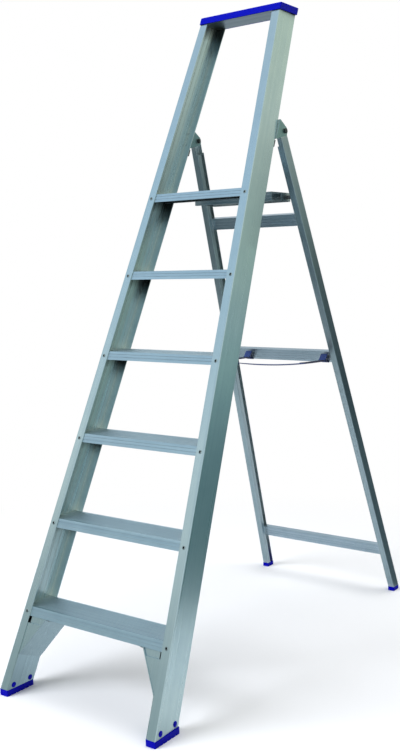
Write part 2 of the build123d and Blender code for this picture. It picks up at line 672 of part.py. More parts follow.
def strap(x):
    """Webbing strap: a loop through the middle bar's slot, a slightly slack run and a tab on the tread."""
    half = STRAP_THICK / 2
    bar = bar_section(MIDDLE_BAR)
    ahead = Vector(0, -STRAP_NOSE, STRAP_LIFT)
    nose = Pos(BAR_FRONT + ahead.dot(LEG_BACK), ahead.dot(LEG_UP) - BAR_FACE / 2)
    top = STRAP_SLOT_LEVEL - half - STRAP_EASE
    below = Pos(0, top) * Rectangle(FAR, FAR, align=(Align.CENTER, Align.MAX))
    eased = offset(bar_outline() & below, STRAP_EASE)
    inner = make_hull(ShapeList(list(eased.edges()) + list((nose * Circle(half)).edges())))
    loop = offset(inner, STRAP_THICK) - inner
    seam = bar.origin + LEG_BACK * (nose.position.X - STRAP_THICK) + LEG_UP * nose.position.Y
    foot = STRAP_WALL + BACK * (SEAT + half) + UP * half
    start = (foot.Y, foot.Z)
    end = (seam.Y, seam.Z)
    sag = ((start[0] + end[0]) / 2, (start[1] + end[1]) / 2 - STRAP_SAG)
    run = trace(ThreePointArc(start, sag, end), STRAP_THICK)
    tab = Pos(*start) * Rot(0, 0, -STILE_LEAN) * Rectangle(
        STRAP_THICK, min(STRAP_TAB, TREAD_HEIGHT), align=(Align.CENTER, Align.MIN))
    side = side_section(x - STRAP_WIDTH / 2, 0, 0)
    band = extrude(side * (run + tab), STRAP_WIDTH)
    ring = extrude(strap_plane(x - STRAP_WIDTH / 2) * loop, STRAP_WIDTH)
    return band + ring - strap_bore(x)


def strap_spot(x):
    """Place on the outer face of a strap's anchor plate where its rivet sits."""
    middle = STRAP_WALL + UP * (TREAD_HEIGHT / 2 / UP.Z)
    spot = middle + BACK * (2 * SEAT + STRAP_THICK + ANCHOR_SHEET)
    return Vector(x, spot.Y, spot.Z)


def strap_bore(x):
    """Hole for the rivet through a strap, its anchor plate and the tread's rear lip."""
    return rivet_hole(strap_spot(x), BACK, STILE_FLANGE)


def strap_anchor(x):
    """Clamp plate that holds a strap's tab against the tread's rear lip."""
    width = STRAP_WIDTH + 2 * STRAP_THICK
    face = Plane(origin=strap_spot(x), x_dir=ACROSS, z_dir=BACK)
    return extrude(face * Rectangle(width, ANCHOR_HEIGHT), -ANCHOR_SHEET) - strap_bore(x)


def save(name, pieces):
    """Write one node to its own file; a list becomes one group of separate pieces."""
    shape = Compound(children=list(pieces)) if isinstance(pieces, list) else pieces
    export_step(shape, f"parts/{name}.step")


def both(pieces):
    """Right-hand pieces followed by their mirror images."""
    return list(pieces) + [left_of(piece) for piece in pieces]


def main():
    """Build every piece and write it out."""
    os.makedirs("parts", exist_ok=True)
    heights = [STEP_RISE * (index + 1) for index in range(STEP_COUNT)]
    straps = (STRAP_RIGHT, STRAP_LEFT)

    # Rivets of the front frame
    tread_grip = STILE_WALL + SEAT + TREAD_WALL + RIVET_SHANK / 2
    front_spots = [rivet_spot(height, 0) for height in heights]
    rear_spots = [rivet_spot(height, STILE_DEPTH) for height in heights]
    front_holes = [rivet_hole(spot, -BACK, tread_grip + HOLE_OVER) for spot in front_spots]
    rear_holes = [rivet_hole(spot, BACK, tread_grip + HOLE_OVER) for spot in rear_spots]
    bracket_grip = BRACKET_SHEET + STILE_WALL + RIVET_SHANK
    bracket_holes = [rivet_hole(spot, BACK, bracket_grip + HOLE_OVER) for spot in bracket_rivet_spots()]
    brace_grip = BRACE_SHEET + SEAT + TREAD_WALL + RIVET_SHANK / 2
    brace_holes = [rivet_hole(spot, Vector(0, 0, -1), brace_grip + HOLE_OVER) for spot in brace_rivet_spots()]
    pin_holes = pin_bores(FOOT_PIN + 2 * HOLE, STILE_FLANGE)

    # Front frame
    stile = channel_stile() - front_holes - rear_holes - bracket_holes - pin_holes
    save("right_stile", stile)
    save("left_stile", left_of(stile))
    for index, height in enumerate(heights):
        tread = cross_tread(height) - both([front_holes[index], rear_holes[index]])
        if index == 0:
            tread -= both(brace_holes)
        if index == STRAP_STEP_COUNT - 1:
            tread -= [strap_bore(x) for x in straps]
        save(f"step_{index + 1}", tread)
    rivets = [rivet(spot, -BACK, tread_grip) for spot in front_spots]
    save("right_step_rivets", rivets)
    save("left_step_rivets", [left_of(piece) for piece in rivets])
    rivets = [rivet(spot, BACK, tread_grip) for spot in rear_spots]
    save("right_step_rear_rivets", rivets)
    save("left_step_rear_rivets", [left_of(piece) for piece in rivets])
    save("top_rail", hoop_rail())
    save("top_cap", cap_shell())
    foot = front_foot() - pin_holes
    save("right_foot", foot)
    save("left_foot", left_of(foot))
    pins = foot_pins()
    save("right_foot_pins", pins)
    save("left_foot_pins", [left_of(pin) for pin in pins])
    brace = foot_brace() - pin_holes - brace_holes
    save("right_foot_brace", brace)
    save("left_foot_brace", left_of(brace))
    save("foot_brace_rivets", both([rivet(s, Vector(0, 0, -1), brace_grip) for s in brace_rivet_spots()]))

    # Hinges
    bolt_hole = hinge_rod(HINGE_BOLT + 2 * HOLE, 0, FAR)
    bracket = hinge_bracket() - bracket_holes - bolt_hole
    save("right_hinge_bracket", bracket)
    save("left_hinge_bracket", left_of(bracket))
    save("hinge_bracket_rivets", both([rivet(s, BACK, bracket_grip) for s in bracket_rivet_spots()]))
    save("hinge_pads", both([hinge_pad()]))
    outer_face = CHEEK_OUT + BRACKET_SHEET
    inner_face = CHEEK_IN - BRACKET_SHEET
    nut_end = inner_face - HEX_HEIGHT
    bolt = hinge_rod(HINGE_BOLT, nut_end - BOLT_END, outer_face) + hex_piece(outer_face, HEX_HEIGHT)
    save("right_hinge_bolt", bolt)
    save("left_hinge_bolt", left_of(bolt))
    save("hinge_nuts", both([hex_piece(nut_end, HEX_HEIGHT) - bolt_hole]))
    washer_start = PIVOT_HALF + LEG_TAPER * WASHER_SIZE / 2 + SEAT
    washer = stud(PIVOT, ACROSS, WASHER_SIZE, washer_start, CHEEK_OUT) - bolt_hole
    save("hinge_washers", both([washer]))
    bush_start = CHEEK_IN + 2 * SEAT
    bush_end = PIVOT_HALF - LEG_WALL - LEG_TAPER * BUSH_SIZE / 2 - SEAT
    bush = hinge_rod(BUSH_SIZE, bush_start, bush_end) - hinge_rod(HINGE_BOLT + 2 * RUN, 0, FAR)
    save("right_hinge_bush", bush)
    save("left_hinge_bush", left_of(bush))

    # Rear frame
    bar_heights = (("upper", UPPER_BAR), ("middle", MIDDLE_BAR), ("lower", LOWER_BAR))
    bar_spots = [spot for _, height in bar_heights for spot in bar_rivet_spots(height)]
    bar_grip = LEG_WALL + SEAT + BAR_WALL + RIVET_SHANK / 2
    bar_holes = [rivet_hole(spot, LEG_BACK, bar_grip + HOLE_OVER) for spot in bar_spots]
    fixings = [slat_fixing(spot) for spot in slat_bolt_spots()]
    slat_holes = [slat_rod(s, SLAT_BOLT + 2 * HOLE, SLAT_HALF / 2, FAR) for s in slat_bolt_spots()]
    leg_reach = leg_at(SLAT_TOP, LEG_WIDTH / 2).X
    lip_holes = [slat_rod(s, SLAT_BOLT + 2 * HOLE, 0, leg_reach) for s in slat_bolt_spots()]
    leg = rear_leg() - bar_holes - lip_holes
    save("right_rear_leg", leg)
    save("left_rear_leg", left_of(leg))
    for name, height in bar_heights:
        bar = rear_bar(height) - both(bar_holes)
        if height == MIDDLE_BAR:
            bar -= [strap_slot(x) for x in straps]
        save(f"{name}_rear_bar", bar)
    save("rear_bar_rivets", both([rivet(spot, LEG_BACK, bar_grip) for spot in bar_spots]))
    foot = rear_foot()
    save("right_rear_foot", foot)
    save("left_rear_foot", left_of(foot))
    save("platform_slat", platform_slat())
    plate = end_plate() - slat_holes
    save("right_slat_plate", plate)
    save("left_slat_plate", left_of(plate))
    save("slat_bolts", both([fixing[0] for fixing in fixings]))
    save("slat_spacers", both([fixing[1] for fixing in fixings]))
    save("slat_nuts", both([fixing[2] for fixing in fixings]))

    # Straps
    save("right_strap", strap(STRAP_RIGHT))
    save("left_strap", strap(STRAP_LEFT))
    save("strap_anchors", [strap_anchor(x) for x in straps])
    anchor_grip = ANCHOR_SHEET + STRAP_THICK + 2 * SEAT + TREAD_WALL + RIVET_SHANK
    save("strap_rivets", [rivet(strap_spot(x), BACK, anchor_grip) for x in straps])


main()
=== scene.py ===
"""Aluminium platform stepladder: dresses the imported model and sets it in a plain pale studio."""

import logging
import math
from dataclasses import dataclass
from enum import Enum
from functools import cache

import bmesh
import bpy
from mathutils import Matrix, Vector


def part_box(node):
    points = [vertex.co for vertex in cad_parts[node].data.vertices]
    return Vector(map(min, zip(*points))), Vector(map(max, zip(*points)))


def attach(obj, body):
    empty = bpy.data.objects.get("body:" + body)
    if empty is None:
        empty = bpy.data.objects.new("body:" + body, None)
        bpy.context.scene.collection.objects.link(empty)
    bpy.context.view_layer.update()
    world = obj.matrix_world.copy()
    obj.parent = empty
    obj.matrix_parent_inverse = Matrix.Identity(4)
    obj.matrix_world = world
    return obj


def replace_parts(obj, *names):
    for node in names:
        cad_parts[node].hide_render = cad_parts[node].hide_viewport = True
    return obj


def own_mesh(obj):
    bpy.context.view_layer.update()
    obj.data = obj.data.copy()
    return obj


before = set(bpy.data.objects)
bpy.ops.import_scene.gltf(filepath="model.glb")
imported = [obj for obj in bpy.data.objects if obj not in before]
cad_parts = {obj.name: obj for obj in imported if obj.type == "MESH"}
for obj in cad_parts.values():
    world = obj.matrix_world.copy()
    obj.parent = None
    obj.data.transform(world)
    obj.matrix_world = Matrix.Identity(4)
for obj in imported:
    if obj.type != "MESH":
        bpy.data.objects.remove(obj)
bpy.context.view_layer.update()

log = logging.getLogger("stepladder")
FRONT = "front_frame"
REAR = "rear_frame"
SIDES = ("right", "left")
FLIP = Vector((-1, 1, 1))
MM = 0.001
WHITE = "#FFFFFF"

Colour = tuple[float, float, float, float]
Pair = tuple[float, float]
Profile = list[Pair]
Inputs = dict[str | int, object]
Tree = bpy.types.NodeTree
Node = bpy.types.Node
Socket = bpy.types.NodeSocket
Mesh = bmesh.types.BMesh


def linear(code: str) -> Colour:
    """Turn an sRGB hex colour into the linear colour that shaders take.

    Args:
        code: Six hex digits after a hash.

    Returns:
        Red, green, blue and an alpha of one.
    """
    parts = [int(code[place:place + 2], 16) / 255 for place in (1, 3, 5)]
    values = [part / 12.92 if part <= 0.04045 else ((part + 0.055) / 1.055) ** 2.4 for part in parts]
    return (values[0], values[1], values[2], 1.0)


def add_node(tree: Tree, kind: str, inputs: Inputs | None = None, **settings: object) -> Node:
    """Add one shader node with its settings and links.

    Args:
        tree: The node tree that takes the node.
        kind: Blender's name for the node type, without ShaderNode in front.
        inputs: Values, sRGB hex colours, output sockets, or nodes whose first output is meant, by input name
            or number.
        settings: Properties of the node itself.

    Returns:
        The new node.
    """
    node = tree.nodes.new(f"ShaderNode{kind}")
    for name, value in settings.items():
        setattr(node, name, value)
    for key, value in (inputs or {}).items():
        if isinstance(value, Node):
            value = next(output for output in value.outputs if output.enabled)
        if isinstance(value, Socket):
            tree.links.new(value, node.inputs[key])
        else:
            node.inputs[key].default_value = linear(value) if isinstance(value, str) else value
    return node


def empty_material(name: str) -> bpy.types.Material:
    """Make a node material with nothing in it yet.

    Args:
        name: The material's name.

    Returns:
        The material, with an empty node tree.
    """
    material = bpy.data.materials.new(name)
    material.use_nodes = True
    material.node_tree.nodes.clear()
    return material


@dataclass(frozen=True)
class Layout:
    """Sizes of the ladder that the dressed pieces are set out from, in metres and radians."""

    lean: float = math.radians(23.85)
    spread: float = math.radians(19.65)
    stile_taper: float = 0.062
    leg_taper: float = 0.0652
    pivot: tuple[float, float, float] = (0.0, 0.12516452, 1.589)
    fold: float = math.radians(43.5)

    def stile_axis(self) -> Vector:
        """Direction up the right stile."""
        return Vector((-self.stile_taper, math.sin(self.lean), math.cos(self.lean))).normalized()

    def stile_in(self, side: str) -> Vector:
        """Direction inward from the outer face of one side's stile.

        Args:
            side: The side of the ladder.

        Returns:
            The direction.
        """
        axis = self.stile_axis()
        level = Vector((-1, 0, 0))
        inward = (level - axis * level.dot(axis)).normalized()
        return inward if side == "right" else inward * FLIP

    def leg_axis(self) -> Vector:
        """Direction down the right rear leg."""
        return Vector((self.leg_taper, math.sin(self.spread), -math.cos(self.spread))).normalized()

    def back(self) -> Vector:
        """Direction square to the stiles' front faces, to the rear."""
        return Vector((0, math.cos(self.lean), -math.sin(self.lean)))

    def up(self) -> Vector:
        """Direction up the stiles' front faces, seen from the side."""
        return Vector((0, math.sin(self.lean), math.cos(self.lean)))

    def leg_back(self) -> Vector:
        """Direction square to the rear legs' front faces, to the rear."""
        return Vector((0, math.cos(self.spread), math.sin(self.spread)))

    def leg_up(self) -> Vector:
        """Direction up the rear legs' front faces, seen from the side."""
        return Vector((0, -math.sin(self.spread), math.cos(self.spread)))


LAYOUT = Layout()


class Grain(Enum):
    """Which way a profile was drawn through its die."""

    RIGHT_STILE = "right stile"
    LEFT_STILE = "left stile"
    RIGHT_LEG = "right leg"
    LEFT_LEG = "left leg"
    ACROSS = "across"

    def direction(self) -> Vector:
        """Unit vector along the grain in the ladder's frame."""
        return {
            Grain.RIGHT_STILE: LAYOUT.stile_axis(),
            Grain.LEFT_STILE: LAYOUT.stile_axis() * FLIP,
            Grain.RIGHT_LEG: LAYOUT.leg_axis(),
            Grain.LEFT_LEG: LAYOUT.leg_axis() * FLIP,
            Grain.ACROSS: Vector((1, 0, 0)),
        }[self]


@dataclass(frozen=True)
class Finish:
    """A surface finish, shown by one shader and the nodes that feed it."""

    name: str

    def surface(self, tree: Tree) -> Inputs:
        """Add the nodes that feed the shader.

        Args:
            tree: The material's node tree.

        Returns:
            The shader's inputs by name.
        """
        raise NotImplementedError

    @cache
    def material(self) -> bpy.types.Material:
        """Make the finish's material at the first call, and give it again later.

        Returns:
            The material.
        """
        material = empty_material(self.name)
        shader = add_node(material.node_tree, "BsdfPrincipled", self.surface(material.node_tree))
        add_node(material.node_tree, "OutputMaterial", {"Surface": shader})
        return material


@dataclass(frozen=True)
class ExtrudedAluminium(Finish):
    """Mill-finish aluminium profile: satin metal with die lines along it and a dull oxide bloom.

    Recesses take a painted tone, mostly lighter in place of light bouncing round the channels, and some finishes
    take painted shade close under overhangs.
    """

    bright: str
    dull: str
    grain: Grain
    line_mm: float = 2.2
    line_depth_mm: float = 0.04
    line_strength: float = 0.35
    streak_mm: float = 8.0
    streak_long_mm: float = 900.0
    streak_range: Pair = (0.3, 0.7)
    bloom_mm: float = 55.0
    bloom_share: float = 0.45
    wear_range: Pair = (0.36, 0.64)  # where the metal is wholly dull, and wholly bright
    inside: str = "#DDE8EA"  # tone painted in recesses: lighter stands in for bounced light, darker for shade
    inside_mm: float = 45.0  # how near a wall the painted recess tone reaches
    painted_recess_range: Pair = (0.2, 0.75)  # open space where the painted recess tone is whole, and where it is gone
    roughness: float = 0.36
    gloss_swing: Pair = (0.07, -0.05)
    edge_mm: float = 0.7
    shaded: float = 1.0  # brightness left close under an overhang
    overhang_mm: float = 48.0
    open_sky: float = 0.45  # share from which a spot isn't shaded

    def along(self, tree: Tree, coords: Socket, wide_mm: float) -> Node:
        """Add noise drawn out along the grain.

        Args:
            tree: The node tree.
            coords: Object coordinates in metres.
            wide_mm: Width of one streak in millimetres.

        Returns:
            The noise.
        """
        turn = self.grain.direction().to_track_quat("Z", "Y").to_euler()
        size = (wide_mm * MM, wide_mm * MM, self.streak_long_mm * MM)
        place = add_node(tree, "Mapping", {"Vector": coords, "Rotation": turn, "Scale": size}, vector_type="TEXTURE")
        return add_node(tree, "TexNoise", {"Vector": place, "Scale": 1.0, "Detail": 3.0, "Roughness": 0.55})

    def tone(self, tree: Tree, coords: Socket, streaks: Node) -> Node:
        """Mix streaks and bloom, add the painted recess tone, and paint shade close under overhangs.

        Args:
            tree: The node tree.
            coords: Object coordinates in metres.
            streaks: The noise along the grain.

        Returns:
            The tone.
        """
        bloom = add_node(tree, "TexNoise", {
            "Vector": coords, "Scale": 1 / (self.bloom_mm * MM), "Detail": 4.0, "Roughness": 0.6})
        wear = add_node(tree, "Mix", {"Factor": self.bloom_share, "A": streaks, "B": bloom})
        low, high = self.wear_range
        share = add_node(tree, "MapRange", {"Value": wear, "From Min": low, "From Max": high})
        tone = add_node(tree, "Mix", {"Factor": share, "A": self.dull, "B": self.bright}, data_type="RGBA")
        # Painted light: occluded spots take the recess tone in place of bounced light or shade.
        recess_openness = add_node(tree, "AmbientOcclusion", {"Distance": self.inside_mm * MM}, samples=6).outputs["AO"]
        low, high = self.painted_recess_range
        open_share = add_node(tree, "MapRange", {"Value": recess_openness, "From Min": low, "From Max": high})
        tone = add_node(tree, "Mix", {"Factor": open_share, "A": self.inside, "B": tone}, data_type="RGBA")
        if self.shaded == 1.0:
            return tone
        # The less of the sky is open above a spot, the less light comes down to it.
        sky = add_node(tree, "CombineXYZ", {"Z": 1.0})
        over = add_node(tree, "AmbientOcclusion", {"Distance": self.overhang_mm * MM, "Normal": sky},
                        samples=8).outputs["AO"]
        light = add_node(tree, "MapRange", {"Value": over, "From Max": self.open_sky, "To Min": self.shaded})
        return add_node(tree, "VectorMath", {0: tone, "Scale": light}, operation="SCALE")

    def surface(self, tree: Tree) -> Inputs:
        """Let the streaks vary the tone and the gloss, and the fine lines the normal.

        Args:
            tree: The material's node tree.

        Returns:
            The shader's inputs by name.
        """
        coords = add_node(tree, "TexCoord").outputs["Object"]
        # Die lines are about 0.2 mm apart on the real profile, and are drawn coarser here so that they show.
        lines = self.along(tree, coords, self.line_mm)
        streaks = self.along(tree, coords, self.streak_mm)
        tone = self.tone(tree, coords, streaks)
        low, high = self.streak_range
        more, less = self.gloss_swing
        gloss = add_node(tree, "MapRange", {
            "Value": streaks, "From Min": low, "From Max": high,
            "To Min": self.roughness + more, "To Max": self.roughness + less})
        edge = add_node(tree, "Bevel", {"Radius": self.edge_mm * MM}, samples=4)
        bump = add_node(tree, "Bump", {
            "Height": lines, "Normal": edge, "Strength": self.line_strength, "Distance": self.line_depth_mm * MM})
        return {"Base Color": tone, "Metallic": 1.0, "Roughness": gloss, "Normal": bump}


@dataclass(frozen=True)
class MouldedPlastic(Finish):
    """Injection-moulded polypropylene: an even colour with a fine spark texture and pale scuffs."""

    colour: str
    scuff: str
    roughness: float = 0.42
    shine: float = 0.15
    index: float = 1.49
    grit_mm: float = 0.9
    grit_depth_mm: float = 0.06
    grit_strength: float = 0.3
    scuff_mm: float = 14.0
    scuff_range: Pair = (0.52, 0.78)
    scuff_most: float = 0.3
    gloss_range: Pair = (0.3, 0.75)
    gloss_swing: Pair = (-0.06, 0.14)
    edge_mm: float = 1.0

    def surface(self, tree: Tree) -> Inputs:
        """Put grit in the normal, and let cloudy scuffs be paler and rougher.

        Args:
            tree: The material's node tree.

        Returns:
            The shader's inputs by name.
        """
        coords = add_node(tree, "TexCoord").outputs["Object"]
        # The mould's spark grit is about 0.1 mm, and is drawn coarser so that it shows.
        grit = add_node(tree, "TexNoise", {"Vector": coords, "Scale": 1 / (self.grit_mm * MM), "Detail": 2.0})
        cloud = add_node(tree, "TexNoise", {
            "Vector": coords, "Scale": 1 / (self.scuff_mm * MM), "Detail": 5.0, "Roughness": 0.65})
        low, high = self.scuff_range
        scuffed = add_node(tree, "MapRange", {
            "Value": cloud, "From Min": low, "From Max": high, "To Max": self.scuff_most})
        tone = add_node(tree, "Mix", {"Factor": scuffed, "A": self.colour, "B": self.scuff}, data_type="RGBA")
        low, high = self.gloss_range
        less, more = self.gloss_swing
        gloss = add_node(tree, "MapRange", {
            "Value": cloud, "From Min": low, "From Max": high,
            "To Min": self.roughness + less, "To Max": self.roughness + more})
        edge = add_node(tree, "Bevel", {"Radius": self.edge_mm * MM}, samples=4)
        bump = add_node(tree, "Bump", {
            "Height": grit, "Normal": edge, "Strength": self.grit_strength, "Distance": self.grit_depth_mm * MM})
        return {"Base Color": tone, "Roughness": gloss, "IOR": self.index, "Specular IOR Level": self.shine,
                "Normal": bump}


@dataclass(frozen=True)
class FastenerSteel(Finish):
    """Cold-headed steel fastener: a dark plated skin, slightly mottled, with bright rubbed spots."""

    dark: str
    bright: str
    roughness: float = 0.4
    mottle_mm: float = 2.5
    mottle_range: Pair = (0.4, 0.72)
    gloss_swing: float = 0.1
    pit_depth_mm: float = 0.05
    pit_strength: float = 0.2

    def surface(self, tree: Tree) -> Inputs:
        """Let the mottling mix the two tones and vary the gloss.

        Args:
            tree: The material's node tree.

        Returns:
            The shader's inputs by name.
        """
        coords = add_node(tree, "TexCoord").outputs["Object"]
        mottle = add_node(tree, "TexNoise", {
            "Vector": coords, "Scale": 1 / (self.mottle_mm * MM), "Detail": 4.0, "Roughness": 0.6})
        low, high = self.mottle_range
        share = add_node(tree, "MapRange", {"Value": mottle, "From Min": low, "From Max": high})
        tone = add_node(tree, "Mix", {"Factor": share, "A": self.dark, "B": self.bright}, data_type="RGBA")
        gloss = add_node(tree, "MapRange", {
            "Value": mottle, "To Min": self.roughness + self.gloss_swing,
            "To Max": self.roughness - self.gloss_swing})
        bump = add_node(tree, "Bump", {
            "Height": mottle, "Strength": self.pit_strength, "Distance": self.pit_depth_mm * MM})
        return {"Base Color": tone, "Metallic": 1.0, "Roughness": gloss, "Normal": bump}


@dataclass(frozen=True)
class PolyesterWebbing(Finish):
    """Woven polyester tape: two thread directions in a close plain weave, matt with a faint sheen."""

    thread: str
    shadow: str
    pick_mm: float = 2.4
    fuzz_per_metre: float = 900.0
    fuzz_share: float = 0.3
    weave_depth_mm: float = 0.25
    weave_strength: float = 0.6
    roughness: float = 0.82
    sheen: float = 0.06
    sheen_roughness: float = 0.5

    def surface(self, tree: Tree) -> Inputs:
        """Make a chequer of raised threads, which gives both the tone and the height.

        Args:
            tree: The material's node tree.

        Returns:
            The shader's inputs by name.
        """
        # Threads are about 0.8 mm apart on the real tape, and are drawn coarser so that they show.
        coords = add_node(tree, "UVMap", uv_map="tape")
        turns = math.pi / (self.pick_mm * MM)
        place = add_node(tree, "VectorMath", {0: coords, 1: (turns, turns, turns)}, operation="MULTIPLY")
        axes = add_node(tree, "SeparateXYZ", {0: place}).outputs
        across = add_node(tree, "Math", {0: axes["X"]}, operation="SINE")
        along = add_node(tree, "Math", {0: axes["Y"]}, operation="SINE")
        weave = add_node(tree, "Math", {0: across, 1: along}, operation="MULTIPLY")
        fuzz = add_node(tree, "TexNoise", {"Vector": coords, "Scale": self.fuzz_per_metre, "Detail": 3.0})
        raised = add_node(tree, "Math", {0: weave, 1: weave}, operation="MULTIPLY")
        height = add_node(tree, "Mix", {"Factor": self.fuzz_share, "A": raised, "B": fuzz})
        # The low parts of the weave take the shadow colour: painted shade between the threads.
        tone = add_node(tree, "Mix", {"Factor": height, "A": self.shadow, "B": self.thread}, data_type="RGBA")
        bump = add_node(tree, "Bump", {
            "Height": height, "Strength": self.weave_strength, "Distance": self.weave_depth_mm * MM})
        return {"Base Color": tone, "Roughness": self.roughness, "Sheen Weight": self.sheen,
                "Sheen Roughness": self.sheen_roughness, "Normal": bump}


def both_sides(name: str, bright: str, dull: str, profile: str, **settings: object) -> dict[str, ExtrudedAluminium]:
    """Make one metal finish for each side of the ladder, with the grain along that side's own profile.

    Args:
        name: The finishes' name, with a place for the side.
        bright: Colour of the bright streaks.
        dull: Colour of the dull streaks.
        profile: What the grain runs along: stile or leg.
        settings: Other fields of the finish.

    Returns:
        The finishes by side.
    """
    return {side: ExtrudedAluminium(name.format(side=side), bright, dull, Grain(f"{side} {profile}"), **settings)
            for side in SIDES}


# Satin metal with long die streaks: the stiles take a soft, stretched picture of the room.
# Painted light: the channels take a lighter painted tone in place of bounced light, and the webs take painted shade
# under each tread and the cap.
STILE = both_sides("mill_finish_aluminium_{side}_stile", "#B3CBD0", "#A9C2C9", "stile", inside="#DCE8E0",
                   roughness=0.3, shaded=0.25)
# Pressed sheet, with a darker painted recess tone standing in for shade: the foot braces stay a shade darker than
# the flanges beside them.
BRACE = both_sides("pressed_aluminium_{side}_brace", "#AEC6CB", "#A4BDC4", "stile", inside="#7C97A6", roughness=0.3)
# A darker, bluer copy of the same sheet for the faces turned inward, standing in for the shade on them: the braces'
# wide inner faces go duller and bluer.
BRACE_SHADED_FACE = both_sides("rubbed_aluminium_{side}_brace", "#91AAB5", "#87A0AC", "stile", inside="#91AAB5",
                        roughness=0.3)
# A bluer, duller metal with the streaks across: the treads read as plates laid between the stiles.
# Painted light: hollows take a lighter painted tone in place of bounced light, and the undersides take a dark
# painted shade.
TREAD = ExtrudedAluminium("ribbed_aluminium_tread", "#AECBD8", "#A2BFCE", Grain.ACROSS, inside_mm=110.0,
                          line_depth_mm=0.02, roughness=0.5, shaded=0.2, open_sky=0.1)
# The same metal where no shoe scours it: the rail is a little glossier, and its painted shade underneath is lighter.
RAIL = ExtrudedAluminium("aluminium_top_rail", "#AECBD8", "#A2BFCE", Grain.ACROSS, inside_mm=110.0,
                         line_depth_mm=0.02, shaded=0.42)
# A greyer metal, darkened in place of the dim surroundings it would reflect: painted shade, so the rear frame falls
# back behind the bright front.
LEG = both_sides("mill_finish_aluminium_{side}_leg", "#95A9B1", "#869BA3", "leg")
BAR = ExtrudedAluminium("mill_finish_aluminium_bar", "#9BB0BD", "#8CA1AE", Grain.ACROSS)
# Metal darkened all over in place of the shade under the top tread: painted shade, so the slat stays a dark bar
# under the top tread.
SLAT = ExtrudedAluminium("mill_finish_aluminium_slat", "#74868E", "#66787F", Grain.ACROSS)
# Pressed sheet with a dull blue-green skin: the hinge cheeks stand out as separate plates.
# The left cheek is a darker copy of the right: painted shade.
CHEEK = {
    side: ExtrudedAluminium(f"pressed_aluminium_{side}_cheek", bright, dull, Grain(f"{side} stile"), roughness=0.42)
    for side, bright, dull in (("right", "#7B9DA0", "#6F9193"), ("left", "#6D8F96", "#628389"))
}
# Deep blue plastic with a dull skin: strong even colour, and only a faint grey where it has rubbed.
CAP = MouldedPlastic("moulded_polypropylene_cap", "#020A9E", "#0814A8", shine=0.05)
FOOT = MouldedPlastic("moulded_polypropylene_foot", "#0204A4", "#101AAC", roughness=0.5, shine=0.05)
# Grey-black nylon and matt black rubber: dark joints between the metal plates.
NYLON = MouldedPlastic("moulded_nylon", "#454A4D", "#5E6467", roughness=0.5)
RUBBER = MouldedPlastic("moulded_black_rubber", "#15181A", "#2A2E30", roughness=0.7)
# Dark plated steel: small hard spots with a bright rub on their edges.
BOLT_STEEL = FastenerSteel("dark_zinc_steel", "#2C3335", "#5A6467")
# A pale dished head round a sunk pin painted nearly black, past its steel's own tone, as painted shade in the hole:
# each rivet is a dark dot with a light ring.
MANDREL = FastenerSteel("broken_steel_mandrel", "#04080E", "#10171E", roughness=0.55)
RIVET = FastenerSteel("aluminium_rivet_head", "#93A6AA", "#B9C8CA", roughness=0.34)
# Matt woven tape: blue threads over darker gaps, with a soft edge and no gloss.
TAPE = PolyesterWebbing("woven_polyester_webbing", "#43609F", "#10194A")
# The same tape, much darker, on each loop's sewn tail: a dark, stiff end where each loop is sewn.
SEWN_TAPE = PolyesterWebbing("stitched_polyester_webbing", "#161F4A", "#080C24")


def linked(name: str, data: bpy.types.ID) -> bpy.types.Object:
    """Put a new object for a mesh, camera or lamp in the scene.

    Args:
        name: The object's name.
        data: What it shows.

    Returns:
        The new object.
    """
    piece = bpy.data.objects.new(name, data)
    bpy.context.scene.collection.objects.link(piece)
    return piece


def dress(finish: Finish, *nodes: str) -> None:
    """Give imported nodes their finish.

    Args:
        finish: The finish.
        nodes: The nodes' names.
    """
    for node in nodes:
        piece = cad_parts[node]
        if not piece.material_slots:
            piece.data.materials.append(finish.material())
        for slot in piece.material_slots:
            slot.material = finish.material()
        log.info("dressed %s in %s", node, finish.name)


def finished(name: str, mesh: Mesh, finishes: list[Finish], body: str) -> bpy.types.Object:
    """Turn a built mesh into a piece of the ladder.

    Args:
        name: The piece's name.
        mesh: The built mesh, which is freed.
        finishes: Its finishes, in the order of their face indices.
        body: The body that it rides on.

    Returns:
        The new object.
    """
    data = bpy.data.meshes.new(name)
    bmesh.ops.recalc_face_normals(mesh, faces=mesh.faces)
    mesh.to_mesh(data)
    mesh.free()
    for finish in finishes:
        data.materials.append(finish.material())
    piece = linked(name, data)
    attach(piece, body)
    log.info("built %s on %s", name, body)
    return piece


def revolve(mesh: Mesh, profile: Profile, place: Matrix, facets: int, finish: int = 0) -> None:
    """Turn a profile round an axis and add it to a mesh.

    Args:
        mesh: The mesh that takes the faces.
        profile: Radius and height of each ring, in metres, along the local Z axis.
        place: Where the local axes stand.
        facets: How many sides the rings have.
        finish: Index of its finish in the mesh's list.
    """
    turns = [2 * math.pi * step / facets for step in range(facets)]
    rings = []
    for radius, height in profile:
        points = [Vector((radius * math.cos(turn), radius * math.sin(turn), height)) for turn in turns]
        rings.append([mesh.verts.new(place @ point) for point in points])
    for lower, upper in zip(rings, rings[1:]):
        for step in range(facets):
            after = (step + 1) % facets
            face = mesh.faces.new((lower[step], lower[after], upper[after], upper[step]))
            face.smooth = True
            face.material_index = finish
    for ring in (rings[0], rings[-1]):
        mesh.faces.new(ring).material_index = finish


